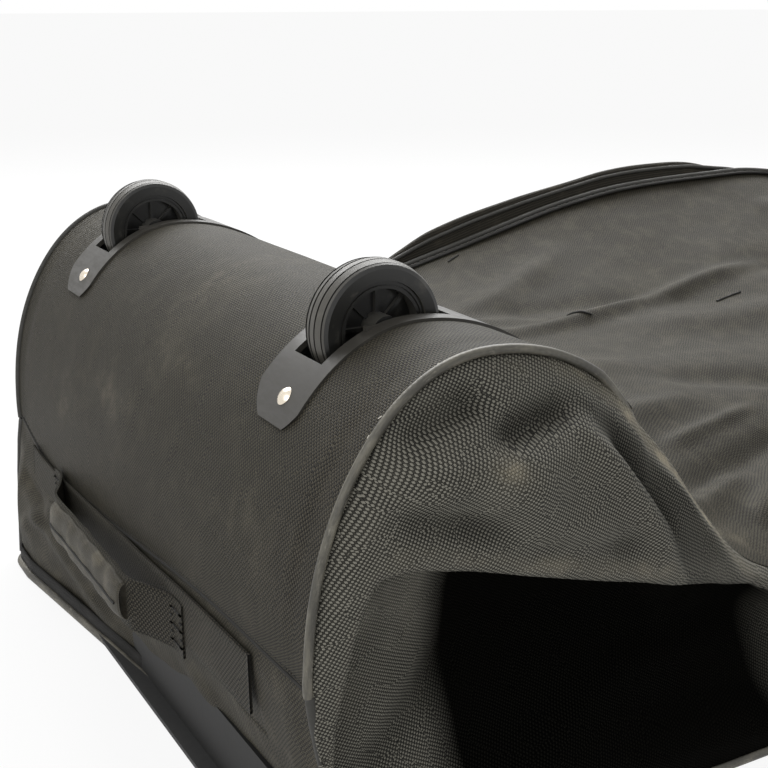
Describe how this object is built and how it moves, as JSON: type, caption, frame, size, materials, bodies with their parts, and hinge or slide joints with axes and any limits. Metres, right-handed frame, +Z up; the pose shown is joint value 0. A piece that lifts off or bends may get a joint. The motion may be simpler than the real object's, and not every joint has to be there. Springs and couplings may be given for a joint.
{
  "type": "wheeled bowling ball bag",
  "caption": "Large soft wheeled sports bag lying on its opening face, with a stiff arched wheel end, a zipped side door and webbing grab handles.",
  "frame": {"origin": "centre of the footprint, on the ground under the bag's lower panel", "axes": "+X along the bag from the wheel end to the pull end, +Y to the bag's left, +Z up with the wheels on top"},
  "size_m": [0.9016, 0.5998, 0.3049],
  "materials": {
    "canvas": "woven",
    "coarse_canvas": "woven",
    "webbing": "woven",
    "grip_twill": "woven",
    "zip_tape": "woven",
    "liner": "moulded",
    "board": "sheet",
    "fender": "fine grain",
    "well": "moulded",
    "tyre": "satin",
    "rim": "moulded",
    "steel": "turned",
    "rivet": "nickel plated",
    "piping": "worn",
    "foam": "cloth over foam",
    "zip_metal": "black enamel"
  },
  "bodies": {
    "bag": {"axle_left": "steel", "axle_right": "steel", "axle_washers_left": "steel", "axle_washers_right": "steel", "back_panel": "canvas", "base_board": "board", "cradle_divider": "foam", "cradle_front_bar": "foam", "cradle_rear_bar": "foam", "fender_rivets_left": "rivet", "fender_rivets_right": "rivet", "ground_panel": "canvas", "ground_piping": "piping", "handle_end_gusset": "canvas", "panel_zip_tape": "zip_tape", "piping_left": "piping", "piping_right": "piping", "pull_end_handle_band": "webbing", "pull_end_panel": "canvas", "rivet_washers_left": "steel", "rivet_washers_right": "steel", "side_panel_left": "coarse_canvas", "side_panel_right": "coarse_canvas", "wheel_end_handle_band": "webbing", "wheel_end_liner": "liner", "wheel_end_panel": "canvas", "wheel_fender_left": "fender", "wheel_fender_right": "fender", "wheel_well_left": "well", "wheel_well_right": "well"},
    "wheel_right": {"wheel_tyre_right": "tyre", "wheel_rim_right": "rim"},
    "wheel_left": {"wheel_tyre_left": "tyre", "wheel_rim_left": "rim"},
    "wheel_end_handle": {"wheel_end_handle_webbing": "webbing", "wheel_end_handle_grip": "grip_twill"},
    "pull_end_handle": {"pull_end_handle_webbing": "webbing", "pull_end_handle_grip": "grip_twill"},
    "door": {"side_door": "coarse_canvas", "door_zip_tape": "zip_tape"},
    "slider": {"zip_slider": "zip_metal"},
    "pull_tab": {"zip_pull_tab": "zip_metal"}
  },
  "joints": [
    {"name": "wheel_right_spin", "type": "hinge", "parent": "bag", "child": "wheel_right", "pos_m": [-0.34, -0.166, 0.27], "axis": [0, 1, 0], "continuous": true},
    {"name": "wheel_left_spin", "type": "hinge", "parent": "bag", "child": "wheel_left", "pos_m": [-0.34, 0.166, 0.27], "axis": [0, 1, 0], "continuous": true},
    {"name": "wheel_end_handle_lift", "type": "hinge", "parent": "bag", "child": "wheel_end_handle", "pos_m": [-0.4289, 0.012, 0.112], "axis": [0, 1, 0], "range_deg": [0, 85]},
    {"name": "pull_end_handle_lift", "type": "hinge", "parent": "bag", "child": "pull_end_handle", "pos_m": [0.4307, 0.012, 0.112], "axis": [0, -1, 0], "range_deg": [0, 85]},
    {"name": "side_door_open", "type": "hinge", "parent": "bag", "child": "door", "pos_m": [0.1165, 0.266, 0.052], "axis": [-1, 0, 0], "range_deg": [0, 90]},
    {"name": "zip_slide", "type": "slide", "parent": "door", "child": "slider", "axis": [1, 0, 0], "range_m": [-0.06, 0.06]},
    {"name": "pull_tab_swing", "type": "hinge", "parent": "slider", "child": "pull_tab", "pos_m": [0.215, 0.28032, 0.24413], "axis": [1, 0, 0], "range_deg": [0, 140]}
  ]
}
